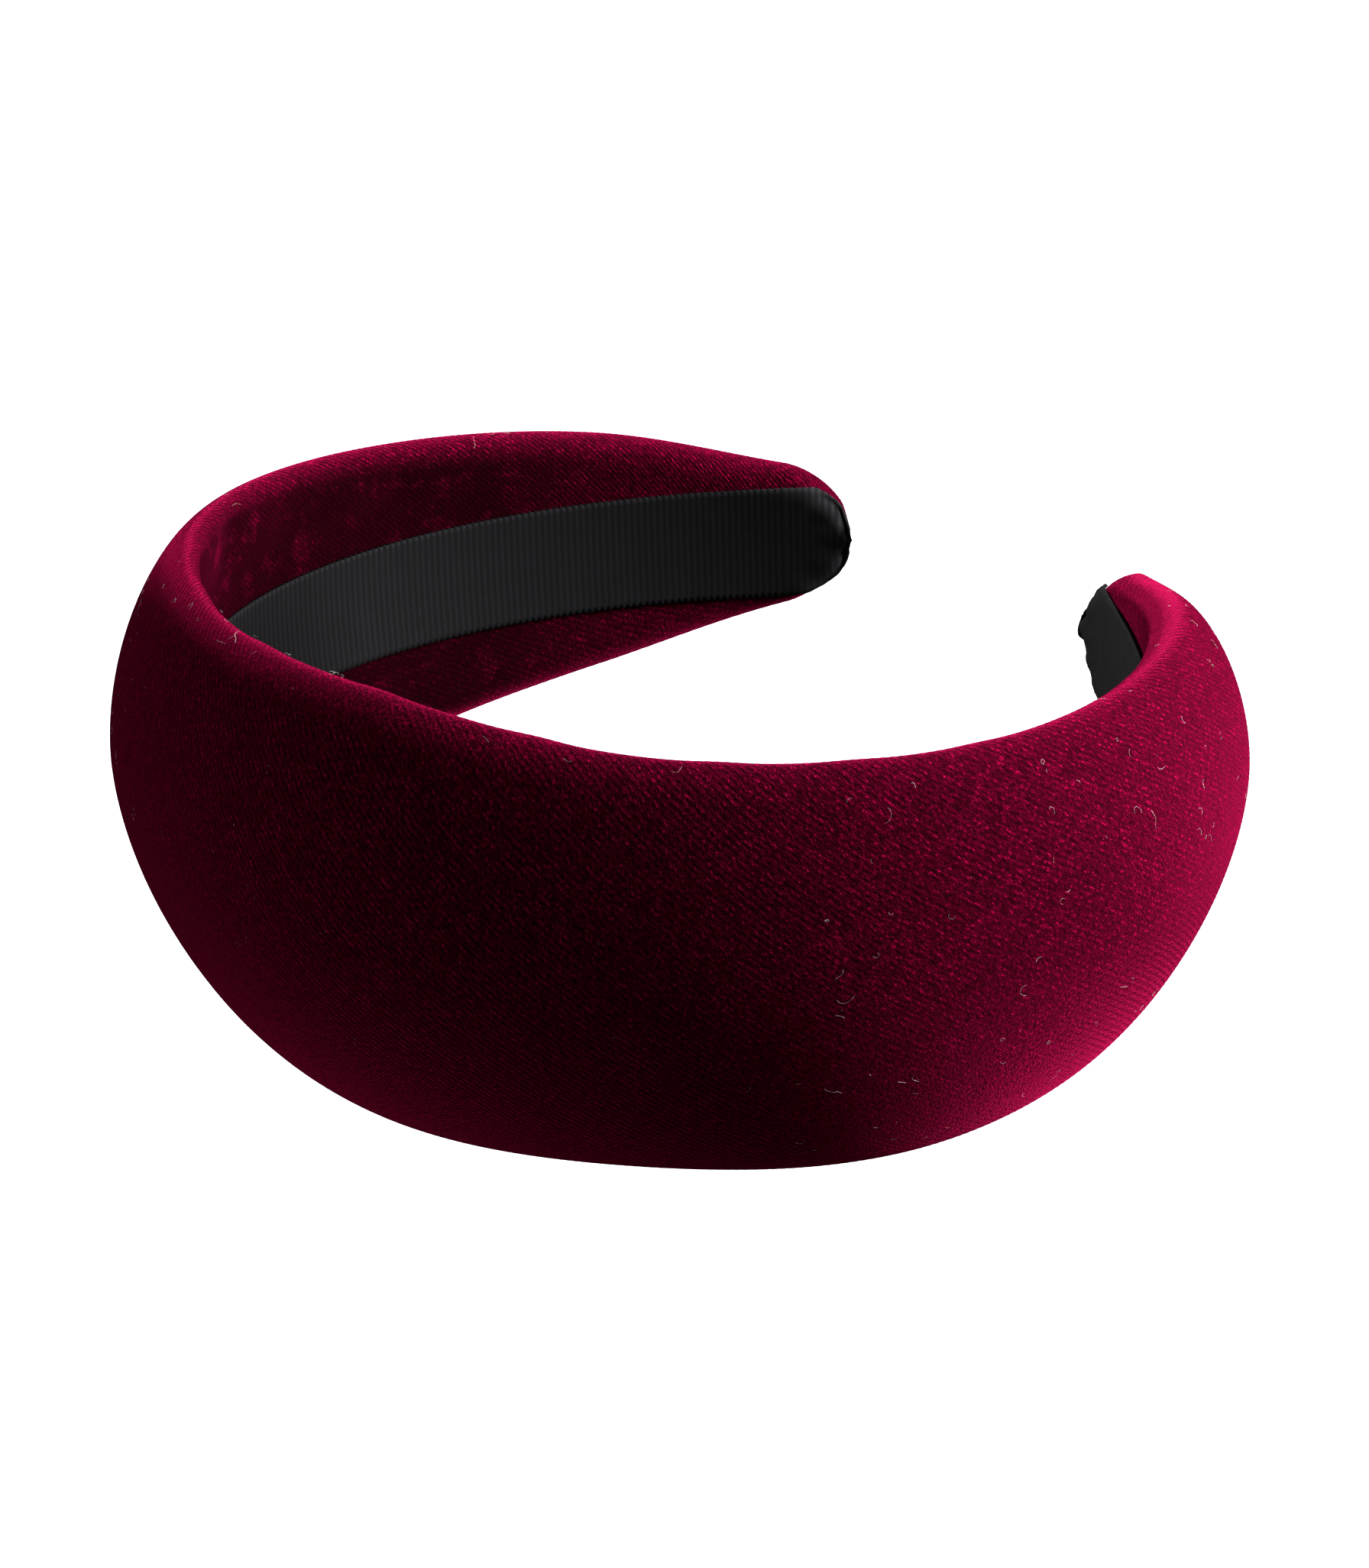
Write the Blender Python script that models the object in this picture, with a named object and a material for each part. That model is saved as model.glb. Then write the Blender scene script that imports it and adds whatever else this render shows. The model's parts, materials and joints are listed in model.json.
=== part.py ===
# Wide padded velvet headband, lying on its lower edge with the crown at the front (-Y).
#
# Every layer is a strip that follows the head line, the plan curve of the face that touches
# the head. A point of a strip is given by s, the distance along the head line from the crown
# centre (negative on the left), n, the distance outwards from that face, and z, the height
# above the middle of the band. The springy hoop bends most at the two shoulders, so each layer
# is cut there into a crown and two arms, with a wedge gap that closes when an arm is opened.

import math

import bmesh
import bpy
from mathutils import Vector

MM = 0.001

# The head line, and the band's size at even steps from the crown centre to the tip.
HALF_LENGTH = 190 * MM
BENDS = (12.9, 12.2, 21.7, 13.6, 9.0, 7.5)                    # curvature, 1/m
HALF_WIDTHS = (32.0, 30.0, 28.5, 24.8, 19.1, 9.7)              # mm
THICKNESSES = (13.4, 11.2, 12.1, 12.2, 12.0, 7.6)               # mm
TIP_THINNING = 0.3             # share of the thickness lost where the tip rounds off
RIM_RADIUS = 1.8 * MM          # of the padded edge, on the head side
DOME_POWER = 1.65              # of the section's outer curve: 2 is an ellipse
CUPPING = 4.2 * MM             # how far the band's edges lean in towards the head
CUPPING_WIDTH = 30 * MM        # height above the middle at which they lean that far
REST_TILT = math.radians(5.9)  # it leans back until crown and shoulders both touch the floor

# The layers, from the head outwards.
LINING_WIDTH = 19.0 * MM
LINING_THICKNESS = 0.5 * MM
CLOTH_THICKNESS = 0.8 * MM
GAP = 0.3 * MM
SLOT_HALF = 6.5 * MM           # the turned-in edges of the cover stop here, under the lining
CORE_THICKNESS = 1.8 * MM
CORE_HALF_CROWN = 9.0 * MM
CORE_HALF_TIP = 7.0 * MM
CORE_CHAMFER = 0.4 * MM
CORE_SHORTER = 2.6 * MM        # the core stops this far before the tip
PAD_SHORTER = 20 * MM
FOLD_LENGTH = 14 * MM          # the ribbon's end, folded under at the tip
FOLD_INSET = 2.0 * MM

TURN_IN = LINING_THICKNESS + GAP                 # n of the cover's inner face
CORE_FACE = TURN_IN + CLOTH_THICKNESS + GAP      # n of the core's inner face
CORE_BACK = CORE_FACE + CORE_THICKNESS
TAPE_HALF = SLOT_HALF - GAP

# The flex lines at the shoulders.
FLEX_AT = 60 * MM              # along the head line
FLEX_DEPTH = CORE_FACE + CORE_THICKNESS / 2
FLEX_OPEN = math.radians(16)
FLEX_GAP_HALF = 0.35 * MM
FLEX_MARGIN = math.radians(0.6)
FLEX_LEAN = math.tan(FLEX_OPEN / 2 + FLEX_MARGIN)

STATION_STEP = 8.5 * MM
DOME_POINTS = 6                # per half of the section
RIM_POINTS = 3
TIP_TURNS = (0.35, 0.6, 0.8, 0.93)   # shares of the tip's round end at which it has a section
LINE_STEP = 1 * MM


def even_steps(values, share):
    # A smooth curve through values spaced evenly over share 0 to 1, level at 0.
    last = len(values) - 1
    place = min(max(share, 0.0), 1.0) * last
    i = min(int(place), last - 1)
    before = values[abs(i - 1)]
    after = values[min(i + 2, last)]
    a, b = values[i], values[i + 1]
    f = place - i
    return a + f / 2 * (b - before + f * (2 * before - 5 * a + 4 * b - after
                                          + f * (3 * (a - b) + after - before)))


def draw_head_line():
    points = [(0.0, 0.0, 0.0)]
    for i in range(round(HALF_LENGTH / LINE_STEP) + 10):
        x, y, heading = points[-1]
        turn = even_steps(BENDS, (i + 0.5) * LINE_STEP / HALF_LENGTH) * LINE_STEP
        middle = heading + turn / 2
        points.append((x + math.cos(middle) * LINE_STEP, y + math.sin(middle) * LINE_STEP,
                       heading + turn))
    return points


HEAD_LINE = draw_head_line()


def place(s, n, z):
    # The point at s, n and z, in the hoop's own level frame.
    side = -1 if s < 0 else 1
    along = abs(s) / LINE_STEP
    i = min(int(along), len(HEAD_LINE) - 2)
    f = along - i
    x, y, heading = [a + f * (b - a) for a, b in zip(HEAD_LINE[i], HEAD_LINE[i + 1])]
    n -= CUPPING * (z / CUPPING_WIDTH) ** 2
    return Vector((side * (x + n * math.sin(heading)), y - n * math.cos(heading), z))


def share_of(s):
    return abs(s) / HALF_LENGTH


def round_end(s, end, radius):
    # 1 along the strip, falling along a quarter circle over the last radius before end.
    past = max(0.0, abs(s) - (end - radius)) / radius
    return math.sqrt(max(0.0, 1 - past * past))


def tip_round(s):
    return round_end(s, HALF_LENGTH, HALF_WIDTHS[-1] * MM)


def half_width(s):
    return even_steps(HALF_WIDTHS, share_of(s)) * MM * tip_round(s)


def thickness(s):
    return even_steps(THICKNESSES, share_of(s)) * MM * (1 - TIP_THINNING * (1 - tip_round(s)))


def slot_half(s):
    return min(SLOT_HALF, 0.6 * half_width(s))


def skin(s, inset, reach):
    # Half of the padded section, from the middle of the dome round the rim to reach on the
    # head side, moved in by inset.
    width = half_width(s)
    rim = TURN_IN + RIM_RADIUS
    rise = thickness(s) - inset - rim
    points = []
    for i in range(DOME_POINTS):
        angle = i / DOME_POINTS * math.pi / 2
        points.append((rim + rise * math.cos(angle) ** (2 / DOME_POWER),
                       (width - inset) * math.sin(angle) ** (2 / DOME_POWER)))
    for i in range(RIM_POINTS + 1):
        angle = i / RIM_POINTS * math.pi / 2
        radius = RIM_RADIUS - inset
        points.append((rim - radius * math.sin(angle),
                       width - RIM_RADIUS + radius * math.cos(angle)))
    points.append((TURN_IN + inset, reach))
    return points


def both_halves(half):
    # The whole outline from its upper half, whose first point lies on the middle.
    return [(n, -z) for n, z in reversed(half[1:])] + half


def cover_section(s):
    reach = slot_half(s)
    outside = both_halves(skin(s, 0.0, reach))
    inside = both_halves(skin(s, CLOTH_THICKNESS, reach))
    return outside + inside[::-1]


def core_half(s):
    end = HALF_LENGTH - CORE_SHORTER
    wide = CORE_HALF_CROWN + (CORE_HALF_TIP - CORE_HALF_CROWN) * share_of(s)
    return wide * round_end(s, end, CORE_HALF_TIP)


def pad_section(s):
    seat = core_half(s) + GAP
    half = skin(s, CLOTH_THICKNESS + GAP, seat)
    half.append((CORE_BACK + GAP, seat))
    return both_halves(half)


def strip_section(low, high, half, chamfer=0.0):
    if not chamfer:
        return [(low, -half), (high, -half), (high, half), (low, half)]
    return [(low, -half + chamfer), (low + chamfer, -half), (high - chamfer, -half),
            (high, -half + chamfer), (high, half - chamfer), (high - chamfer, half),
            (low + chamfer, half), (low, half - chamfer)]


def core_section(s):
    return strip_section(CORE_FACE, CORE_BACK, core_half(s), CORE_CHAMFER)


def lining_section(s):
    return strip_section(0.0, LINING_THICKNESS, min(LINING_WIDTH / 2, half_width(s) - GAP))


def tape_section(s):
    return strip_section(TURN_IN, TURN_IN + CLOTH_THICKNESS, TAPE_HALF)


def fold_section(s):
    return strip_section(TURN_IN, TURN_IN + CLOTH_THICKNESS, slot_half(s) - GAP)


def even_stations(start, end):
    count = max(1, round((end - start) / STATION_STEP))
    return [start + (end - start) * i / count for i in range(count + 1)]


def crown_stations():
    # An odd number of steps, so that a flat facet lies across the crown centre.
    half_step = STATION_STEP / 2
    right = [half_step] + even_stations(half_step, FLEX_AT)[1:]
    return [-s for s in reversed(right)] + right


def arm_stations(end, tip_radius):
    stations = even_stations(FLEX_AT, end - tip_radius)
    return stations + [end - tip_radius * (1 - turn) for turn in TIP_TURNS if tip_radius]


def at_flex_line(s, n, towards_tip):
    # Where a cut end at the flex line lies, at distance n from the head.
    lean = FLEX_GAP_HALF + max(0.0, n - FLEX_DEPTH) * FLEX_LEAN
    distance = abs(s) + (lean if towards_tip else -lean)
    return math.copysign(distance, s)


def sweep(name, stations, section, material, cut_ends=()):
    # Extrudes a face through the stations. The ends listed in cut_ends lie on a flex line.
    def ring(i):
        s = stations[i]
        towards_tip = i == 0 and len(cut_ends) == 1
        return [place(at_flex_line(s, n, towards_tip) if i in cut_ends else s, n, z)
                for n, z in section(s)]

    mesh = bpy.data.meshes.new(name)
    bm = bmesh.new()
    face = bm.faces.new([bm.verts.new(point) for point in ring(0)])
    for i in range(1, len(stations)):
        grown = bmesh.ops.extrude_face_region(bm, geom=[face], use_keep_orig=True)["geom"]
        if i > 1:
            bm.faces.remove(face)
        face = next(item for item in grown if isinstance(item, bmesh.types.BMFace))
        for vert, point in zip(face.verts, ring(i)):
            vert.co = point
    bmesh.ops.recalc_face_normals(bm, faces=bm.faces[:])
    bm.to_mesh(mesh)
    bm.free()
    mesh.set_sharp_from_angle(angle=math.radians(40))
    part = bpy.data.objects.new(name, mesh)
    part.data.materials.append(material)
    bpy.context.scene.collection.objects.link(part)
    return part


def make_material(name, colour, roughness, metallic=0.0):
    material = bpy.data.materials.new(name)
    material.use_nodes = True
    shader = material.node_tree.nodes["Principled BSDF"]
    shader.inputs["Base Color"].default_value = (*colour, 1.0)
    shader.inputs["Roughness"].default_value = roughness
    shader.inputs["Metallic"].default_value = metallic
    return material


def make_crown(name, section, material):
    stations = crown_stations()
    return sweep(name + "_crown", stations, section, material, (0, len(stations) - 1))


def make_arms(name, section, material, end=HALF_LENGTH, tip_radius=0.0, suffix="_arm"):
    arms = []
    for side, sign in (("left", -1), ("right", 1)):
        stations = [sign * s for s in arm_stations(end, tip_radius)]
        arms.append(sweep(f"{name}_{side}{suffix}", stations, section, material, (0,)))
    return arms


def make_lining_folds(material):
    start = HALF_LENGTH - FOLD_INSET - FOLD_LENGTH
    stations = [start + FOLD_LENGTH * i / 4 for i in range(5)]
    return [sweep(f"lining_fold_{side}", [sign * s for s in stations], fold_section, material)
            for side, sign in (("left", -1), ("right", 1))]


def stand_on_floor(parts):
    # Leans the hoop back about X, then centres it over the origin with its lowest point at 0.
    frame = bpy.data.objects.new("hoop_frame", None)
    bpy.context.scene.collection.objects.link(frame)
    frame.rotation_euler.x = -REST_TILT
    for part in parts:
        part.parent = frame
    turn = frame.rotation_euler.to_matrix()
    corners = [turn @ vert.co for part in parts for vert in part.data.vertices]
    low, high = [[pick(c[i] for c in corners) for i in range(3)] for pick in (min, max)]
    frame.location = (0.0, -(low[1] + high[1]) / 2, -low[2])


def main():
    for old in list(bpy.data.objects):
        bpy.data.objects.remove(old)
    velvet = make_material("velvet", (0.16, 0.002, 0.022), 0.85)
    grosgrain = make_material("grosgrain", (0.016, 0.017, 0.02), 0.7)
    plastic = make_material("hoop_plastic", (0.02, 0.02, 0.022), 0.4)
    foam = make_material("foam", (0.75, 0.73, 0.68), 0.95)
    adhesive = make_material("adhesive", (0.7, 0.68, 0.6), 0.35)

    tip = HALF_WIDTHS[-1] * MM
    core_end = HALF_LENGTH - CORE_SHORTER
    tape_end = HALF_LENGTH - FOLD_INSET - FOLD_LENGTH - GAP
    parts = [make_crown("core", core_section, plastic),
             make_crown("pad", pad_section, foam),
             make_crown("cover", cover_section, velvet),
             make_crown("tape", tape_section, adhesive),
             make_crown("lining", lining_section, grosgrain)]
    parts += make_arms("core", core_section, plastic, core_end, CORE_HALF_TIP)
    parts += make_arms("pad", pad_section, foam, HALF_LENGTH - PAD_SHORTER)
    parts += make_arms("cover", cover_section, velvet, HALF_LENGTH, tip)
    parts += make_arms("tape", tape_section, adhesive, tape_end)
    parts += make_arms("lining", lining_section, grosgrain, HALF_LENGTH, tip)
    parts += make_lining_folds(grosgrain)
    stand_on_floor(parts)


main()
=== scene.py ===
# Padded velvet headband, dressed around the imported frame.
# Every cloth is first laid out flat, u along the band (negative on the left) and v across it,
# and is then wrapped: n is the distance outwards from the head, z the height above the middle.

import json
import math
import random

import bpy
import numpy as np
from mathutils import Matrix, Vector


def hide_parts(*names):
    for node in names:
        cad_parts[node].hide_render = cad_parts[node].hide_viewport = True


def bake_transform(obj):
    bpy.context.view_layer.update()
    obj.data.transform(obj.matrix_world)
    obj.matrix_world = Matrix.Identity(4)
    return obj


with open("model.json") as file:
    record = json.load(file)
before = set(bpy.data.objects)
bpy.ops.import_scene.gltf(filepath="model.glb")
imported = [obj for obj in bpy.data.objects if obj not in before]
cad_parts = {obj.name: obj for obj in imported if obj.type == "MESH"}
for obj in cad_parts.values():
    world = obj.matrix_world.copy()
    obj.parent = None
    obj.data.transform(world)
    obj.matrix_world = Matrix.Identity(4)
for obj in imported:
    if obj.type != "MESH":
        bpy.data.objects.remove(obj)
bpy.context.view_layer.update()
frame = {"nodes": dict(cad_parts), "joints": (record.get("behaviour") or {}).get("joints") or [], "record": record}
nodes = frame["nodes"]
record = frame["record"]
mm = 0.001
print("frame loaded")

# ---- the band's own shape, from the part's driving dimensions ----

band = {
    "halfLength": 190 * mm,
    "bends": (12.9, 12.2, 21.7, 13.6, 9.0, 7.5),          # curvature at even steps, 1/m
    "halfWidths": (32.0, 30.0, 28.5, 24.8, 19.1, 9.7),    # mm
    "thicknesses": (13.4, 11.2, 12.1, 12.2, 12.0, 7.6),   # mm
    "rimRadii": (1.8, 2.0, 2.5, 3.4, 4.3, 4.0),           # mm: the rims turn more softly on the arms
    "mostRim": 0.9,               # of the half width
    "mostReach": 0.6,             # of the half width: how far from the middle a turned-in edge ends
    "leastWidth": 0.02 * mm,      # of a section, at the very tips
    "tipThinning": 0.3,
    "domePower": 1.65,
    "cupping": 4.2 * mm,
    "cuppingWidth": 30 * mm,
    "clothInside": 0.8 * mm,      # n of the velvet on the head side
    "seatSag": 0.538 * mm,        # the crown seat's facet, out from the head line
    "droop": 2.0 * mm,            # the right tip hangs a little lower than the left one,
    "lean": math.radians(2),      # leans out,
    "plump": 0.27,                # is padded a little more
    "closeIn": 1.5 * mm,          # and stands a little further in
    "lineStep": 1 * mm,
    "blendFrom": 30 * mm,         # along the band; followArms finds a point at each of these and then uses neither
    "blendTo": 90 * mm,
}


def evenSteps(values, share):
    # A smooth curve through values spaced evenly over share 0 to 1, level at 0.
    values = np.asarray(values, float)
    last = len(values) - 1
    spot = np.clip(share, 0, 1) * last
    i = np.minimum(spot.astype(int), last - 1)
    before, a, b, after = values[abs(i - 1)], values[i], values[i + 1], values[np.minimum(i + 2, last)]
    f = spot - i
    bend = 2 * before - 5 * a + 4 * b - after + f * (3 * (a - b) + after - before)
    return a + f / 2 * (b - before + f * bend)


def drawHeadLine():
    length, step = band["halfLength"], band["lineStep"]
    steps = np.arange(round(length / step) + 10)
    turns = evenSteps(band["bends"], (steps + 0.5) * step / length) * step
    heading = np.concatenate([[0], np.cumsum(turns)])
    middle = heading[:-1] + turns / 2
    x = np.concatenate([[0], np.cumsum(np.cos(middle))]) * step
    y = np.concatenate([[0], np.cumsum(np.sin(middle))]) * step
    return x, y, heading


headLine = drawHeadLine()


def findHoopFrame():
    # The hoop lies tilted back: its up and inward directions are the joints' and the seat's.
    up = Vector(frame["joints"][0]["axis"])
    up = up if up.z > 0 else -up
    seat = record["mounts"][0]
    inward = Vector(seat["axis"])
    start = Vector(seat["pos_m"]) - inward * band["seatSag"]
    hoop = Matrix((inward.cross(up), inward, up)).transposed().to_4x4()
    hoop.translation = start
    return hoop


hoopFrame = findHoopFrame()
hoopTurn = np.array(hoopFrame.to_3x3())
hoopStart = np.array(hoopFrame.translation)


def place(u, n, z):
    # Points of the band in the row frame, from arrays of u, n and z.
    u, n, z = np.broadcast_arrays(*(np.asarray(a, float) for a in (u, n, z)))
    along = np.abs(u) / band["lineStep"]
    x, y, heading = (np.interp(along, np.arange(len(a)), a) for a in headLine)
    sag = np.maximum(u / band["halfLength"], 0) ** 2
    n = n * (1 + band["plump"] * sag) - band["closeIn"] * sag
    n = n - band["cupping"] * (z / band["cuppingWidth"]) ** 2 + z * math.tan(band["lean"]) * sag
    z = z - band["droop"] * sag
    level = np.stack([np.where(u < 0, -1, 1) * (x + n * np.sin(heading)), y - n * np.cos(heading), z], -1)
    return level @ hoopTurn.T + hoopStart


def tipRound(u):
    radius = band["halfWidths"][-1] * mm
    past = np.maximum(0, np.abs(u) - (band["halfLength"] - radius)) / radius
    return np.sqrt(np.maximum(0, 1 - past * past))


def halfWidth(u):
    return evenSteps(band["halfWidths"], np.abs(u) / band["halfLength"]) * mm * tipRound(u)


def thickness(u):
    shrink = 1 - band["tipThinning"] * (1 - tipRound(u))
    return evenSteps(band["thicknesses"], np.abs(u) / band["halfLength"]) * mm * shrink


def rimRadius(u):
    return evenSteps(band["rimRadii"], np.abs(u) / band["halfLength"]) * mm


sectionSteps = {"dome": 24, "rim": 10, "face": 12, "along": 500, "around": 240}


def halfSection(u, inset=0.0, reach=0.0):
    # n and z of the padded section's upper half, from the dome's middle round to the head side.
    u = np.atleast_1d(np.asarray(u, float))[:, None]
    width = np.maximum(halfWidth(u) - inset, band["leastWidth"])
    reach = np.minimum(reach, band["mostReach"] * width)
    radius = np.minimum(rimRadius(u), band["mostRim"] * width)
    rim = band["clothInside"] + radius
    rise = np.maximum(thickness(u) - inset - rim, band["leastWidth"])
    angle = np.linspace(0, math.pi / 2, sectionSteps["dome"] + 1)[:-1]
    power = 2 / band["domePower"]
    dome = rim + rise * np.cos(angle) ** power, width * np.sin(angle) ** power
    angle = np.linspace(0, math.pi / 2, sectionSteps["rim"] + 1)
    edge = rim - (radius - inset) * np.sin(angle), width - radius + radius * np.cos(angle)
    share = np.linspace(0, 1, sectionSteps["face"] + 1)[1:]
    face = np.broadcast_arrays(rim - radius + inset, (width - radius) * (1 - share) + reach * share)
    return tuple(np.concatenate(parts, 1) for parts in zip(dome, edge, face))


def sectionTable(inset=0.0, reach=0.0, innerFace=0.0):
    # The upper half section at many places along the band, evenly spaced by its own length.
    along = band["halfLength"] * np.sin(np.linspace(0, math.pi / 2, sectionSteps["along"]))
    n, z = halfSection(along, inset, reach)
    n = np.maximum(n, innerFace)
    gone = np.cumsum(np.hypot(np.diff(n, axis=1), np.diff(z, axis=1)), axis=1)
    gone = np.concatenate([np.zeros((len(along), 1)), gone], 1)
    shares = np.linspace(0, 1, sectionSteps["around"])
    rows = [[np.interp(shares, g / g[-1], a) for g, a in zip(gone, values)] for values in (n, z)]
    return {"along": along, "n": np.array(rows[0]), "z": np.array(rows[1]), "length": gone[:, -1]}


def onSection(table, u, t):
    # n and z at u and share t of the section, from -1 at its lower end to 1 at its upper end.
    rows, columns = table["n"].shape
    i = np.interp(np.abs(u), table["along"], np.arange(rows))
    j = np.abs(t) * (columns - 1)
    i0, j0 = np.minimum(i.astype(int), rows - 2), np.minimum(j.astype(int), columns - 2)
    f, g = i - i0, j - j0
    n, z = ((1 - f) * ((1 - g) * a[i0, j0] + g * a[i0, j0 + 1])
            + f * ((1 - g) * a[i0 + 1, j0] + g * a[i0 + 1, j0 + 1]) for a in (table["n"], table["z"]))
    return n, np.sign(t) * z


def turnAt(table, u):
    # The share of the half section at which it turns round the rim to the head side.
    face = table["z"].max(axis=1) - table["z"][:, -1]
    return np.interp(np.abs(u), table["along"], 1 - face / table["length"])


def halfCloth(table, u):
    # Half the width that the cloth has when it is laid flat, before its ends are rounded.
    square = band["halfLength"] - band["halfWidths"][-1] * mm
    return np.interp(np.minimum(np.abs(u), square), table["along"], table["length"])


# ---- tools for the sheets ----


def only(piece):
    bpy.ops.object.select_all(action="DESELECT")
    piece.select_set(True)
    bpy.context.view_layer.objects.active = piece


def coords(piece):
    flat = np.empty(len(piece.data.vertices) * 3)
    piece.data.vertices.foreach_get("co", flat)
    return flat.reshape(-1, 3)


def setCoords(piece, points):
    piece.data.vertices.foreach_set("co", np.asarray(points, float).ravel())
    piece.data.update()


def normals(piece):
    flat = np.empty(len(piece.data.vertices) * 3)
    piece.data.vertex_normals.foreach_get("vector", flat)
    return flat.reshape(-1, 3)


def newSheet(name, columns, rows):
    # A flat grid from -1 to 1 both ways.
    bpy.ops.object.select_all(action="DESELECT")
    bpy.ops.mesh.primitive_grid_add(x_subdivisions=columns, y_subdivisions=rows, size=2)
    piece = bpy.context.object
    piece.name = piece.data.name = name
    return piece


def trim(piece, at, side):
    # Cuts a flat sheet straight across at x = at. side is what goes: "left", "right" or neither.
    only(piece)
    bpy.ops.object.mode_set(mode="EDIT")
    bpy.ops.mesh.select_all(action="SELECT")
    bpy.ops.mesh.bisect(plane_co=(at, 0, 0), plane_no=(1, 0, 0), clear_inner=side == "left",
                        clear_outer=side == "right", threshold=1e-7)
    bpy.ops.object.mode_set(mode="OBJECT")


def useModifier(piece, kind, **settings):
    only(piece)
    modifier = piece.modifiers.new(kind.title(), kind)
    for key, value in settings.items():
        setattr(modifier, key, value)
    bpy.ops.object.modifier_apply(modifier=modifier.name)


def keepValues(piece, name, values):
    made = piece.data.attributes.new(name, "FLOAT", "POINT")
    made.data.foreach_set("value", np.asarray(values, np.float32))


def setCloth(piece, u, v):
    # The cloth's own flat coordinates, in metres, as a UV map.
    uv = piece.data.uv_layers.new(name="cloth") if not piece.data.uv_layers else piece.data.uv_layers[0]
    uv.name = "cloth"
    corners = np.empty(len(piece.data.loops), int)
    piece.data.loops.foreach_get("vertex_index", corners)
    uv.data.foreach_set("uv", np.stack([u[corners], v[corners]], -1).ravel())


def smooth(piece):
    piece.data.polygons.foreach_set("use_smooth", [True] * len(piece.data.polygons))
    piece.data.update()


def cutInHalf(whole, names):
    # Two halves of a finished sheet that was cut across its middle, shaded as one.
    u = np.empty(len(whole.data.vertices), np.float32)
    whole.data.attributes["along"].data.foreach_get("value", u)
    shade = normals(whole)
    halves = []
    for name, away in zip(names, (u > 1e-6, u < -1e-6)):
        only(whole)
        bpy.ops.object.duplicate()
        half = bpy.context.object
        half.name = half.data.name = name
        bpy.ops.object.mode_set(mode="EDIT")
        bpy.ops.mesh.select_all(action="DESELECT")
        bpy.ops.object.mode_set(mode="OBJECT")
        half.data.vertices.foreach_set("select", away)
        bpy.ops.object.mode_set(mode="EDIT")
        bpy.ops.mesh.delete(type="VERT")
        bpy.ops.object.mode_set(mode="OBJECT")
        half.data.normals_split_custom_set_from_vertices(shade[~away])
        halves.append(half)
    bpy.data.objects.remove(whole)
    return halves


def followArms(halves):
    for half, arm, side in zip(halves, ("left_arm", "right_arm"), (-1, 1)):
        start, end = (Vector(place(side * band[key], 0, 0)) for key in ("blendFrom", "blendTo"))
        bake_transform(half)


# ---- velvet cover ----

velvet = {
    "ribPitch": 0.78 * mm,        # between the knitted ribs of the pile
    "ribSlope": math.radians(40),  # the cloth is cut on the bias: ribs fall to the right
    "columnsPerRib": 4,
    "rows": 150,
    "ribHeight": 0.035 * mm,
    "slotHalf": 6.5 * mm,         # the turned-in edges end here, under the ribbon
    "tipTrim": 0.002 * mm,
    "layHalf": 0.1,               # half width of the flat grid while its ends are trimmed
    "shearSteps": 40,             # passes that lay the ribs on the bias, and how far each one goes
    "shearEase": 0.6,
    "turnStart": 0.6,             # of the rim's radius past its edge, where the painted shade on the turned-in side is half on
    "turnFade": 3 * mm,           # over which the painted shade on the turned-in side comes on
    "tipUnshaded": (135 * mm, 35 * mm),   # along the band: from here, and over this length, that painted shade fades out towards the tips
    "blankColumns": 96,           # of the simulated blank
    "blankRows": 36,
    "blankReach": 0.985,          # how near its columns crowd to the tips
    "blankScale": 10,             # times life size, where Cloth is steadier
    "heldAcross": 0.8,            # beyond these shares of its half width and half length it is held
    "heldAlong": 0.93,
    "mostSwell": 0.7 * mm,
    "frames": 20,
    "cloth": {
        "quality": 6,
        "mass": 0.2,
        "tension_stiffness": 30,
        "compression_stiffness": 30,
        "shear_stiffness": 10,
        "bending_stiffness": 2,
        "use_pressure": True,
        "uniform_pressure_force": 3.0,
    },
}


def simulateCover(table):
    # How the taut cloth settles on its padding, as shifts on an even grid of the cover.
    columns, rows = velvet["blankColumns"], velvet["blankRows"]
    blank = newSheet("coverBlank", columns, rows)
    flat = coords(blank)
    u = np.sin(flat[:, 0] * math.pi / 2 * velvet["blankReach"]) * band["halfLength"]
    before = place(u, *onSection(table, u, flat[:, 1]))
    setCoords(blank, before * velvet["blankScale"])
    held = blank.vertex_groups.new(name="turnIn")
    isHeld = (abs(flat[:, 1]) > velvet["heldAcross"]) | (abs(flat[:, 0]) > velvet["heldAlong"])
    held.add(np.nonzero(isHeld)[0].tolist(), 1, "REPLACE")
    only(blank)
    bpy.ops.object.modifier_add(type="CLOTH")
    cloth = blank.modifiers[-1].settings
    cloth.vertex_group_mass = "turnIn"
    for key, value in velvet["cloth"].items():
        setattr(cloth, key, value)
    cloth.effector_weights.gravity = 0
    blank.modifiers[-1].point_cache.frame_end = velvet["frames"]
    for step in range(1, velvet["frames"] + 1):
        bpy.context.scene.frame_set(step)
    settled = blank.evaluated_get(bpy.context.evaluated_depsgraph_get())
    after = np.empty(len(flat) * 3)
    settled.data.vertices.foreach_get("co", after)
    bpy.context.scene.frame_set(1)
    shift = after.reshape(-1, 3) / velvet["blankScale"] - before
    size = np.linalg.norm(shift, axis=1, keepdims=True)
    print("cover settled, largest shift before the cap", round(float(size.max()) / mm, 2), "mm")
    shift *= np.minimum(1, velvet["mostSwell"] / np.maximum(size, 1e-9))
    bpy.data.objects.remove(blank)
    order = np.lexsort((flat[:, 0], flat[:, 1]))
    return shift[order].reshape(rows + 1, columns + 1, 3)


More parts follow.
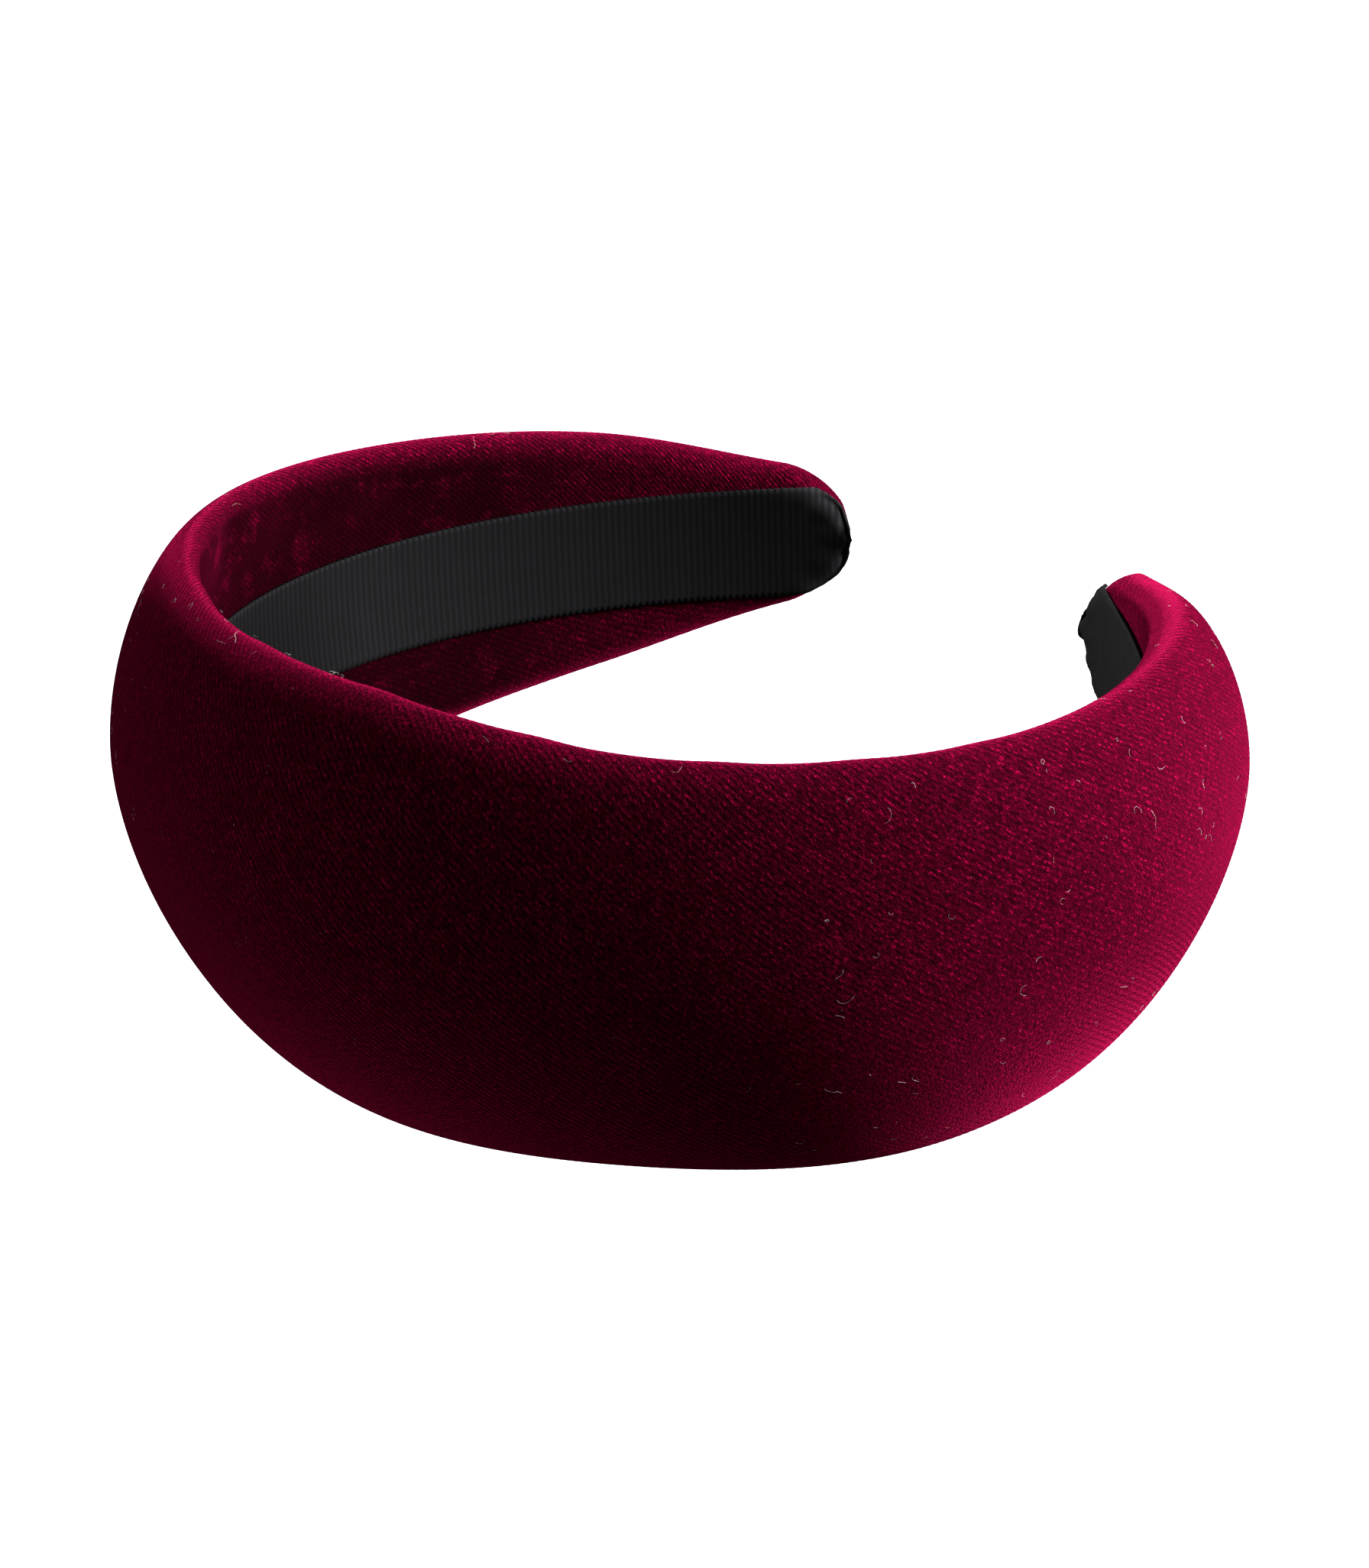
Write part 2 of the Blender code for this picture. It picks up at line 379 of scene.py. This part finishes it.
def smoothWeights(f):
    # What four neighbours in a row count for, at share f of the way from the second to the third.
    return (((2 - f) * f - 1) * f / 2, ((3 * f - 5) * f * f + 2) / 2,
            ((4 - 3 * f) * f + 1) * f / 2, (f - 1) * f * f / 2)


def readShifts(shifts, u, t):
    # Smoothly between the grid's points, both ways.
    rows, columns = shifts.shape[:2]
    x = np.arcsin(np.clip(u / band["halfLength"], -1, 1)) / (math.pi / 2 * velvet["blankReach"])
    i, j = ((np.clip(a, -1, 1) + 1) / 2 * (c - 1) for a, c in ((x, columns), (t, rows)))
    result = 0
    i0, j0 = np.minimum(i.astype(int), columns - 2), np.minimum(j.astype(int), rows - 2)
    weights = smoothWeights(i - i0), smoothWeights(j - j0)
    for a in range(4):
        for b in range(4):
            point = shifts[np.clip(j0 + b - 1, 0, rows - 1), np.clip(i0 + a - 1, 0, columns - 1)]
            result = result + (weights[0][a] * weights[1][b])[:, None] * point
    return result


def makeVelvet():
    table = sectionTable(reach=velvet["slotHalf"])
    slope = velvet["ribSlope"]
    step = velvet["ribPitch"] / velvet["columnsPerRib"] / math.sin(slope)
    lean = 1 / math.tan(slope)
    overhang = table["length"].max() * lean
    columns = 2 * math.ceil((band["halfLength"] + overhang) / step)
    cover = newSheet("cover", columns, velvet["rows"])
    flat = coords(cover)
    t = flat[:, 1]
    column = flat[:, 0] * columns / 2 * step
    u = column.copy()
    for _ in range(velvet["shearSteps"]):
        u += velvet["shearEase"] * (column - lean * t * halfCloth(table, u) - u)
    setCoords(cover, np.stack([u, t * velvet["layHalf"], column], -1))
    end = band["halfLength"] - velvet["tipTrim"]
    for at, side in ((-end, "left"), (end, "right"), (0, "neither")):
        trim(cover, at, side)
    u, t, column = coords(cover).T
    t = t / velvet["layHalf"]
    v = t * halfCloth(table, u)
    points = place(u, *onSection(table, u, t))
    points = points + readShifts(simulateCover(table), u, t)
    setCoords(cover, points)
    smooth(cover)
    phase = column / velvet["ribPitch"] * math.sin(slope)
    rise = np.cos(phase * 2 * math.pi) * velvet["ribHeight"] / 2
    setCoords(cover, points + normals(cover) * rise[:, None])
    keepValues(cover, "along", u)
    # A mask of painted shade for the turned-in side, the hoop's inside, fading out near the tips.
    past = (abs(t) - turnAt(table, u)) * halfCloth(table, u) - velvet["turnStart"] * rimRadius(u)
    freeFrom, freeOver = velvet["tipUnshaded"]
    nearTip = np.clip((abs(u) - freeFrom) / freeOver, 0, 1)
    keepValues(cover, "turnedInShade", np.clip(past / velvet["turnFade"] + 0.5, 0, 1) * (1 - nearTip))
    setCloth(cover, u, v)
    return cutInHalf(cover, ("velvetLeft", "velvetRight"))


velvetHalves = makeVelvet()
for half, arm in zip(velvetHalves, ("left_arm", "right_arm")):
    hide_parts("cover_crown", "cover_" + arm)
followArms(velvetHalves)
print("velvet cover made", [len(half.data.polygons) for half in velvetHalves])

# ---- foam under the velvet ----

foam = {
    "columns": 120,
    "rows": 28,
    "inset": 1.2 * mm,            # cloth and a little air
    "innerFace": 3.75 * mm,       # the hoop's back
    "endShort": 20 * mm,
    "weld": 0.02 * mm,
}


def makeFoam():
    table = sectionTable(inset=foam["inset"], innerFace=foam["innerFace"])
    pad = newSheet("pad", foam["columns"], foam["rows"])
    flat = coords(pad)
    u = flat[:, 0] * (band["halfLength"] - foam["endShort"])
    setCoords(pad, place(u, *onSection(table, u, flat[:, 1])))
    keepValues(pad, "along", u)
    useModifier(pad, "WELD", merge_threshold=foam["weld"])
    useModifier(pad, "SUBSURF", levels=1, render_levels=1)
    smooth(pad)
    return cutInHalf(pad, ("foamLeft", "foamRight"))


foamHalves = makeFoam()
for half, arm in zip(foamHalves, ("left_arm", "right_arm")):
    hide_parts("pad_crown", "pad_" + arm)
followArms(foamHalves)
print("foam made")

# ---- grosgrain lining ribbon ----

ribbon = {
    "halfWidth": 9.5 * mm,
    "thick": 0.45 * mm,
    "ribPitch": 1.0 * mm,
    "columnsPerRib": 4,
    "rows": 22,
    "ribHeight": 0.07 * mm,
    "edgeLoop": 0.10 * mm,        # the woven edge bulges a little at each rib
    "tipRadius": 10.0 * mm,
    "cornerPower": -8,            # how tightly its straight sides turn into the round tip
    "leastWidth": 0.01 * mm,
    "overTip": 0.25 * mm,         # beyond the velvet's own tip
    "tipColumns": 40,
    "lift": 0.25 * mm,            # of the ribbon's middle off the head line
    "curlStop": 0.22,             # share of the rim's radius inside the outline, where the curl ends
    "pleats": 13,
    "pleatDepth": 0.16 * mm,
    "pleatReach": 6 * mm,         # from the edge inwards
    "pleatStart": 5 * mm,         # from where the tip begins to round
    "pleatCentre": 3 * mm,
    "pleatWander": 1.3,
    "scallop": 0.012,
    "weld": 0.005 * mm,
}


def makeRibbon():
    radius = ribbon["tipRadius"]
    centre = band["halfLength"] + ribbon["overTip"] - radius
    straight = round(centre / ribbon["ribPitch"] * ribbon["columnsPerRib"])
    columns = 2 * (straight + ribbon["tipColumns"])
    piece = newSheet("lining", columns, ribbon["rows"])
    x, t = coords(piece)[:, :2].T
    spot = abs(x) * columns / 2
    turn = np.maximum(0, spot - straight) / ribbon["tipColumns"] * math.pi / 2
    u = np.sign(x) * (np.minimum(spot, straight) * centre / straight + radius * np.sin(turn))
    past = radius * np.sin(turn)
    power = ribbon["cornerPower"]
    roundWidth = np.maximum(radius * np.cos(turn), ribbon["leastWidth"])
    width = (ribbon["halfWidth"] ** power + roundWidth ** power) ** (1 / power)
    phase = np.cos(u / ribbon["ribPitch"] * 2 * math.pi)
    z = t * (width + ribbon["edgeLoop"] * phase * (turn == 0))
    reach = np.where(past > 0, radius - np.hypot(past, z), radius - abs(z))
    width = np.maximum(halfWidth(u), band["leastWidth"])
    soft = np.minimum(rimRadius(u), band["mostRim"] * width)
    fromRim = np.clip(width - abs(z), ribbon["curlStop"] * soft, soft)
    curl = soft - np.sqrt(soft ** 2 - (soft - fromRim) ** 2)
    around = np.arctan2(z, past + ribbon["pleatCentre"])
    fold = np.cos(around * ribbon["pleats"] + ribbon["pleatWander"] * np.sin(3 * around + np.sign(u)))
    inFold = np.clip(1 - reach / ribbon["pleatReach"], 0, 1) * np.clip(past / ribbon["pleatStart"], 0, 1)
    n = curl - fold * inFold * ribbon["pleatDepth"] - ribbon["ribHeight"] / 2 * phase
    grow = fold * inFold * ribbon["scallop"]
    u = np.sign(u) * (abs(u) + past * grow)
    setCoords(piece, place(u, n + ribbon["lift"], z * (1 + grow)))
    keepValues(piece, "along", u)
    setCloth(piece, u, t * ribbon["halfWidth"])
    useModifier(piece, "SOLIDIFY", thickness=ribbon["thick"], offset=0)
    useModifier(piece, "WELD", merge_threshold=ribbon["weld"])
    smooth(piece)
    return piece


lining = makeRibbon()
liningHalves = cutInHalf(lining, ("liningLeft", "liningRight"))
for half, arm in zip(liningHalves, ("left", "right")):
    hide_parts("lining_crown", f"lining_{arm}_arm", f"lining_fold_{arm}")
followArms(liningHalves)
print("ribbon made")

# ---- lint: curled fibres and dust caught in the pile ----

lint = {
    "seed": 11,
    "fibres": (400, 190),         # on the left and right half
    "specks": (160, 90),
    "radius": 0.010 * mm,
    "steps": (4, 7),
    "step": (0.12 * mm, 0.45 * mm),
    "curl": 0.75,                 # radians from one step to the next, and how much that changes
    "curlChange": 0.5,
    "lift": (0.06 * mm, 0.28 * mm),
    "speck": (2.2, 4.4),          # times a fibre's radius
    "speckLift": 0.5,             # of a fibre's lift
    "dips": (0.4, 0.6, 1.3),      # a fibre's least lift, how much it rises, radians from point to point
    "along": (0.5 * mm, 0.97 * band["halfLength"]),
    "across": 0.62,               # of the half cloth
    "heart": (4 * mm, 0.6),       # fibres lift away from this n in the padding, at this share of their z
}


def makeLint(name, side):
    dice = random.Random(lint["seed"] + side)
    table = sectionTable(reach=velvet["slotHalf"])
    strings = bpy.data.curves.new(name, "CURVE")
    strings.dimensions = "3D"
    strings.bevel_depth = lint["radius"]
    strings.bevel_resolution = 0
    strings.use_fill_caps = True
    fibres, specks = (lint[kind][side > 0] for kind in ("fibres", "specks"))
    for index in range(fibres + specks):
        isSpeck = index >= fibres
        u = side * dice.uniform(*lint["along"])
        v = dice.uniform(-lint["across"], lint["across"]) * float(halfCloth(table, u))
        heading, turn = dice.uniform(0, 2 * math.pi), dice.uniform(-lint["curl"], lint["curl"])
        step = lint["radius"] * 2 if isSpeck else dice.uniform(*lint["step"])
        lift = dice.uniform(*lint["lift"]) * (lint["speckLift"] if isSpeck else 1)
        least, rise, beat = lint["dips"]
        flat = []
        for i in range(2 if isSpeck else dice.randint(*lint["steps"])):
            flat.append((u, v, lift * (least + rise * math.sin(1 + i * beat) ** 2)))
            u, v = u + step * math.cos(heading), v + step * math.sin(heading)
            turn += dice.uniform(-lint["curlChange"], lint["curlChange"])
            heading += turn
        u, v, up = np.array(flat).T
        u = side * np.maximum(side * u, 0)
        n, z = onSection(table, u, v / halfCloth(table, u))
        strand = strings.splines.new("POLY")
        strand.points.add(len(flat) - 1)
        places = place(u, n, z)
        centre = place(u, lint["heart"][0], lint["heart"][1] * z)
        outward = (places - centre) / np.linalg.norm(places - centre, axis=1, keepdims=True)
        places = places + outward * up[:, None]
        thick = dice.uniform(*lint["speck"]) if isSpeck else 1
        for point, spot in zip(strand.points, places):
            point.co = (*spot, 1)
            point.radius = thick
    piece = bpy.data.objects.new(name, strings)
    bpy.context.collection.objects.link(piece)
    only(piece)
    bpy.ops.object.convert(target="MESH")
    piece = bpy.context.object
    piece.data.name = name
    return piece


lintHalves = [makeLint(name, side) for name, side in (("lintLeft", -1), ("lintRight", 1))]
followArms(lintHalves)
print("lint made", [len(half.data.polygons) for half in lintHalves])

# ---- materials ----


class Wire:
    # One shader socket that can be used in ordinary sums. make() adds any other node.
    def __init__(self, tree, socket=None):
        self.tree, self.socket = tree, socket

    def make(self, kind, settings=None, inputs=None, output=0):
        made = self.tree.nodes.new(kind)
        for name, value in (settings or {}).items():
            setattr(made, name, value)
        for name, value in (inputs or {}).items():
            if isinstance(value, Wire):
                self.tree.links.new(value.socket, made.inputs[name])
            else:
                made.inputs[name].default_value = value
        return Wire(self.tree, made.outputs[output] if made.outputs else None)

    def math(self, operation, a, b=0.0, c=0.0):
        return self.make("ShaderNodeMath", {"operation": operation}, {0: a, 1: b, 2: c})

    def __add__(self, other):
        return self.math("ADD", self, other)

    def __sub__(self, other):
        return self.math("SUBTRACT", self, other)

    def __rsub__(self, other):
        return self.math("SUBTRACT", other, self)

    def __mul__(self, other):
        return self.math("MULTIPLY", self, other)

    __radd__, __rmul__ = __add__, __mul__

    def other(self, output):
        # Another output of the same node.
        return Wire(self.tree, self.socket.node.outputs[output])

    def wave(self):
        # 0 to 1 and back, once for each whole number.
        return self.math("COSINE", self * (2 * math.pi)) * 0.5 + 0.5

    def between(self, low, high):
        # 0 below low, 1 above high.
        return self.make("ShaderNodeMapRange", {"interpolation_type": "SMOOTHSTEP"},
                         {"Value": self, "From Min": low, "From Max": high})

    def noise(self, scale, detail, roughness=0.5):
        # Noise from 0 to 1 at the place that this vector says.
        return self.make("ShaderNodeTexNoise", {}, {"Vector": self, "Scale": scale, "Detail": detail,
                                                    "Roughness": roughness}, "Fac")

    def bump(self, strength, distance):
        return self.make("ShaderNodeBump", {}, {"Height": self, "Strength": strength, "Distance": distance})

    def mix(self, a, b):
        # From colour a to colour b as this value goes from 0 to 1.
        return self.make("ShaderNodeMix", {"data_type": "RGBA"}, {0: self, 6: a, 7: b}, 2)


def newMaterial(name):
    made = bpy.data.materials.new(name)
    made.use_nodes = True
    made.node_tree.nodes.clear()
    return made, Wire(made.node_tree)


def principled(start, **values):
    # A Principled shader with these values or links.
    inputs = {key.replace("_", " "): value for key, value in values.items()}
    return start.make("ShaderNodeBsdfPrincipled", {}, inputs)


def finishMaterial(start, **values):
    start.make("ShaderNodeOutputMaterial", {}, {"Surface": principled(start, **values)})


def rgb(red, green, blue):
    # Screen colours from 0 to 255, as the shader wants them.
    linear = [((c / 255 + 0.055) / 1.055) ** 2.4 if c > 10.3 else c / 3294 for c in (red, green, blue)]
    return (*linear, 1)


def onCloth(start):
    # The laid-out cloth's own coordinates in metres: both at once, along it, and across it.
    both = start.make("ShaderNodeUVMap", {"uv_map": "cloth"})
    along = start.make("ShaderNodeSeparateXYZ", {}, {0: both})
    return both, along, along.other(1)


pile = {
    "paintedShade": rgb(18, 1, 4),        # painted shade: between the tufts, in the rib grooves and on the turned-in side
    "base": rgb(58, 1, 17),
    "paintedGlint": rgb(150, 4, 58),    # a painted glint, on a tuft as if it lay towards the light
    "insideShadeSheen": 0.08,         # sheen of the darker copy: painted shade on the turned-in side
    "sheen": rgb(236, 30, 100),
    "sheenWeight": 0.42,
    "sheenRoughness": 0.40,
    "tuftLong": 0.38 * mm,        # along a rib
    "tuftWide": 0.26 * mm,        # three tufts to a rib
    "wanderNoise": (90.0, 2.0),   # scale and detail of the noise that shifts the ribs,
    "ribWander": 0.3,             # and how many ribs it can
    "strandNoise": (1.7, 3.0),
    "napNoise": (170.0, 5.0, 0.65),
    "height": {"rib": 0.3, "tuft": 0.9, "strands": 0.45, "chance": 0.3},
    "light": {"rib": 0.29, "tuft": 0.7, "strands": 1.0, "chance": 0.8, "nap": 0.3, "all": 0.5},
    "shadeToBase": (-0.2, 0.75),   # the values of light from which and to which the colour changes
    "baseToGlint": (0.62, 1.25),
    "insideShadeToBase": (0.4, 1.6),
    "shadeGaps": (0.52, 0.64),      # the values of nap at which the painted shade on the turned-in side lifts, in patches, and how much it can
    "shadeGapShare": 0.35,           # and how much it can
    "roughness": 0.9,
    "bump": 0.8,
    "bumpHeight": 0.16 * mm,
}


def velvetMaterial():
    made, start = newMaterial("velvet")
    uv, u, v = onCloth(start)
    wander = uv.noise(*pile["wanderNoise"])
    sine, cosine = math.sin(velvet["ribSlope"]), math.cos(velvet["ribSlope"])
    distance = u * sine + v * cosine
    rib = (distance * (1 / velvet["ribPitch"]) + wander * pile["ribWander"]).wave()
    across = distance * (1 / pile["tuftWide"])
    along = (u * cosine - v * sine) * (1 / pile["tuftLong"]) + start.math("FLOOR", across) * 0.5
    cell = start.make("ShaderNodeCombineXYZ", {}, {0: across, 1: along, 2: 0.0})
    tuft = start.make("ShaderNodeTexVoronoi", {"feature": "F1"}, {"Vector": cell, "Scale": 1.0}, "Distance")
    chance = start.make("ShaderNodeTexWhiteNoise", {"noise_dimensions": "2D"},
                        {"Vector": tuft.other("Position")}, "Value")
    strands = cell.noise(*pile["strandNoise"])
    nap = uv.noise(*pile["napNoise"])
    high, lit = pile["height"], pile["light"]
    height = (rib * high["rib"] + (1 - tuft) * high["tuft"] + strands * high["strands"]
              + chance * high["chance"])
    # Painted light in the colour: lighter on random tufts, as painted glints, and darker between the tufts and in
    # the rib grooves, as painted shade; strands and nap add random tone.
    light = (rib * lit["rib"] + (chance - 0.5) * lit["chance"] + (strands - 0.5) * lit["strands"]
             + (nap - 0.5) * lit["nap"] - tuft * lit["tuft"] + lit["all"])
    colour = light.between(*pile["shadeToBase"]).mix(pile["paintedShade"], pile["base"])
    colour = light.between(*pile["baseToGlint"]).mix(colour, pile["paintedGlint"])
    # The turned-in side gets a darker copy of the pile with less sheen: painted shade, lifted in random patches.
    insideShadeColour = light.between(*pile["insideShadeToBase"]).mix(pile["paintedShade"], pile["base"])
    turnedInShade = start.make("ShaderNodeAttribute", {"attribute_name": "turnedInShade"}, {}, "Fac")
    insideShade = turnedInShade * (1 - nap.between(*pile["shadeGaps"]) * pile["shadeGapShare"])
    bump = height.bump(pile["bump"], pile["bumpHeight"])
    # The first shader is the pile as lit, the second its darker, shaded copy.
    free, flat = (principled(start, Base_Color=tone, Roughness=pile["roughness"], Normal=bump,
                             Sheen_Weight=sheen, Sheen_Tint=pile["sheen"],
                             Sheen_Roughness=pile["sheenRoughness"], Specular_IOR_Level=0.0)
                  for tone, sheen in ((colour, pile["sheenWeight"]), (insideShadeColour, pile["insideShadeSheen"])))
    cloth = start.make("ShaderNodeMixShader", {}, {0: insideShade, 1: free, 2: flat})
    start.make("ShaderNodeOutputMaterial", {}, {"Surface": cloth})
    return made


grosgrain = {
    "thread": rgb(22, 22, 24),
    # painted shade between the ribs
    "gap": rgb(15, 15, 16),
    "warpPitch": 0.32 * mm,
    "wearNoise": (260.0, 4.0),
    "fibreNoise": (2600.0, 2.0),
    "light": {"rib": 0.7, "warp": 0.15, "wear": 0.5, "fibre": 0.4},
    "height": {"rib": 0.7, "warp": 0.2, "fibre": 0.3},
    "roughness": 0.6,             # on a rib,
    "gapRoughness": 0.3,          # and how much rougher between two
    "specular": 0.03,
    "bump": 0.35,
    "bumpHeight": 0.1 * mm,
}


def ribbonMaterial():
    made, start = newMaterial("grosgrain")
    uv, u, v = onCloth(start)
    rib = (u * (1 / ribbon["ribPitch"]) + 0.5).wave()
    warp = (v * (1 / grosgrain["warpPitch"])).wave()
    wear = uv.noise(*grosgrain["wearNoise"])
    fibre = uv.noise(*grosgrain["fibreNoise"])
    high, lit = grosgrain["height"], grosgrain["light"]
    # Painted shade in the colour: darker between the ribs and between the warp threads; wear and fibre add the
    # ribbon's own random tone.
    light = (rib * lit["rib"] + warp * lit["warp"] + (wear - 0.5) * lit["wear"]
             + (fibre - 0.5) * lit["fibre"])
    colour = light.between(0.0, 1.0).mix(grosgrain["gap"], grosgrain["thread"])
    height = rib * high["rib"] + warp * high["warp"] + fibre * high["fibre"]
    finishMaterial(start, Base_Color=colour, Normal=height.bump(grosgrain["bump"], grosgrain["bumpHeight"]),
                   Roughness=grosgrain["roughness"] + grosgrain["gapRoughness"] * (1 - rib),
                   Specular_IOR_Level=grosgrain["specular"])
    return made


fluff = {
    "dark": rgb(150, 132, 132),
    "pale": rgb(215, 206, 200),
    "tan": rgb(176, 134, 98),
    "toneNoise": (420.0, 0.0),
    "tanNoise": (300.0, 0.0),
    "darkToPale": (0.35, 0.65),
    "toTan": (0.6, 0.75),
    "roughness": 0.7,
}


def lintMaterial():
    made, start = newMaterial("lint")
    where = start.make("ShaderNodeTexCoord", {}, {}, "Object")
    tone = where.noise(*fluff["toneNoise"])
    tint = where.noise(*fluff["tanNoise"])
    colour = tone.between(*fluff["darkToPale"]).mix(fluff["dark"], fluff["pale"])
    colour = tint.between(*fluff["toTan"]).mix(colour, fluff["tan"])
    finishMaterial(start, Base_Color=colour, Roughness=fluff["roughness"])
    return made


speckles = {
    "detail": 5.0,
    "darkToPale": (0.3, 0.7),
    "rougher": 0.15,              # where the speckle is palest
    "bump": 0.4,
}


def plainMaterial(name, dark, pale, scale, roughness, bumpHeight):
    # Plastic, foam and tape: a fine speckle between two close colours.
    made, start = newMaterial(name)
    where = start.make("ShaderNodeTexCoord", {}, {}, "Object")
    speckle = where.noise(scale, speckles["detail"])
    finishMaterial(start, Base_Color=speckle.between(*speckles["darkToPale"]).mix(dark, pale),
                   Roughness=roughness + speckles["rougher"] * speckle,
                   Normal=speckle.bump(speckles["bump"], bumpHeight))
    return made


finishes = {
    "velvet": velvetMaterial(),
    "grosgrain": ribbonMaterial(),
    "lint": lintMaterial(),
    "hoop_plastic": plainMaterial("hoopPlastic", rgb(24, 24, 26), rgb(34, 34, 36), 900, 0.4, 0.02 * mm),
    "foam": plainMaterial("foam", rgb(196, 190, 176), rgb(222, 218, 206), 2200, 0.85, 0.15 * mm),
    "adhesive": plainMaterial("tape", rgb(176, 168, 150), rgb(196, 190, 172), 1500, 0.3, 0.03 * mm),
}


def dress(piece, finish):
    piece.data.materials.clear()
    piece.data.materials.append(finishes[finish])


for pieces, finish in ((velvetHalves, "velvet"), (foamHalves, "foam"), (liningHalves, "grosgrain"),
                       (lintHalves, "lint")):
    for piece in pieces:
        dress(piece, finish)
for name, node in nodes.items():
    layer = name.split("_")[0]
    dress(node, {"core": "hoop_plastic", "pad": "foam", "cover": "velvet", "tape": "adhesive",
                 "lining": "grosgrain"}[layer])
print("materials made")

# ---- floor, light and camera ----

studio = {
    "floorSize": 6.0,
    "floorGrey": 0.80,
    "floorRoughness": 0.9,
    "floorSpecular": 0.1,
    "world": 0.15,
    "aim": (0.0, 0.0, 0.03),      # where the round lamps point
    "tipSpot": {                  # a narrow beam over the left arm onto the right tip
        "at": (-0.68, -0.10, 0.40),
        "aim": (0.035, 0.060, 0.030),
        "power": 70.0,
        "angle": math.radians(7),
        "softEdge": 0.8,
        "size": 0.04,
    },
    "card": (0.068, 0.072, (-0.012, -0.001, 0.022)),    # length, height and middle
    "lamps": {                    # place, size in metres, power in watts, and what it lights
        "key": ((0.86, 0.66, 0.42), 0.50, 61.0, "band"),
        "rim": ((0.05, 1.10, 0.95), 0.50, 52.0, "band"),
        "front": ((-0.75, -0.80, 0.60), 0.60, 5.0, "band"),
        "overhead": ((0.0, 0.0, 3.0), 3.0, 230.0, "floor"),
    },
}


def hang(lamp, spot, aim, lit):
    # A lamp at spot that points at aim and lights only the pieces in lit.
    holder = bpy.data.objects.new(lamp.name, lamp)
    holder.location = spot
    holder.rotation_euler = (Vector(spot) - Vector(aim)).to_track_quat("Z", "Y").to_euler()
    bpy.context.collection.objects.link(holder)
    holder.light_linking.receiver_collection = lit
    return holder


def makeStudio():
    bpy.ops.object.select_all(action="DESELECT")
    bpy.ops.mesh.primitive_plane_add(size=studio["floorSize"])
    floor = bpy.context.object
    floor.name = floor.data.name = "floor"
    made, start = newMaterial("floor")
    finishMaterial(start, Base_Color=(*[studio["floorGrey"]] * 3, 1), Roughness=studio["floorRoughness"],
                   Specular_IOR_Level=studio["floorSpecular"])
    floor.data.materials.append(made)
    floor.visible_diffuse = floor.visible_glossy = False    # white underneath, but it lights nothing
    # A card stands where the head would be and keeps the lamps off the hoop's left inner side.
    bpy.ops.mesh.primitive_grid_add(x_subdivisions=2, y_subdivisions=2, size=1)
    card = bpy.context.object
    card.name = card.data.name = "card"
    length, height, middle = studio["card"]
    flat = coords(card)
    setCoords(card, np.stack([0 * flat[:, 0], flat[:, 0] * length, flat[:, 1] * height], -1) + middle)
    card.visible_camera = card.visible_diffuse = card.visible_glossy = False
    card.data.materials.append(made)
    world = bpy.data.worlds.new("studio")
    world.use_nodes = True
    world.node_tree.nodes["Background"].inputs[0].default_value = (1, 1, 1, 1)
    world.node_tree.nodes["Background"].inputs[1].default_value = studio["world"]
    bpy.context.scene.world = world
    lit = {name: bpy.data.collections.new(name + "Lit") for name in ("band", "floor")}
    for piece in (*velvetHalves, *foamHalves, *liningHalves, *lintHalves, *nodes.values()):
        lit["band"].objects.link(piece)
    lit["floor"].objects.link(floor)
    for name, (spot, size, power, target) in studio["lamps"].items():
        lamp = bpy.data.lights.new(name, "AREA")
        lamp.shape, lamp.size, lamp.energy = "DISK", size, power
        holder = hang(lamp, spot, studio["aim"], lit[target])
        if target == "floor":
            holder.light_linking.blocker_collection = lit[target]
    spot = studio["tipSpot"]
    beam = bpy.data.lights.new("tipSpot", "SPOT")
    beam.energy, beam.spot_size, beam.spot_blend = spot["power"], spot["angle"], spot["softEdge"]
    beam.shadow_soft_size = spot["size"]
    hang(beam, spot["at"], spot["aim"], lit["band"])


view = {
    "azimuth": math.radians(39.44),   # round the hoop from straight in front
    "height": math.radians(26.93),    # above the hoop's own level
    "roll": math.radians(-1.83),
    "distance": 0.6264,
    "aim": (0, 60 * mm, 0),           # in the hoop's level frame
    "shift": (2.04 * mm, -4.90 * mm),
    "lens": 103.4,
}


def makeCamera():
    a, e, roll = view["azimuth"], view["height"], view["roll"]
    back = Vector((math.sin(a) * math.cos(e), -math.cos(a) * math.cos(e), math.sin(e)))
    right = Vector((math.cos(a), math.sin(a), 0))
    up = back.cross(right)
    right, up = right * math.cos(roll) + up * math.sin(roll), up * math.cos(roll) - right * math.sin(roll)
    turned = Matrix((right, up, back)).transposed().to_4x4()
    across, upward = view["shift"]
    turned.translation = Vector(view["aim"]) + back * view["distance"] + right * across + up * upward
    lens = bpy.data.cameras.new("camera")
    lens.lens = view["lens"]
    lens.clip_start = 0.01
    camera = bpy.data.objects.new("camera", lens)
    bpy.context.collection.objects.link(camera)
    camera.matrix_world = hoopFrame @ turned
    bpy.context.scene.camera = camera


makeStudio()
makeCamera()
bpy.context.scene.view_settings.view_transform = "Standard"
print("studio made")
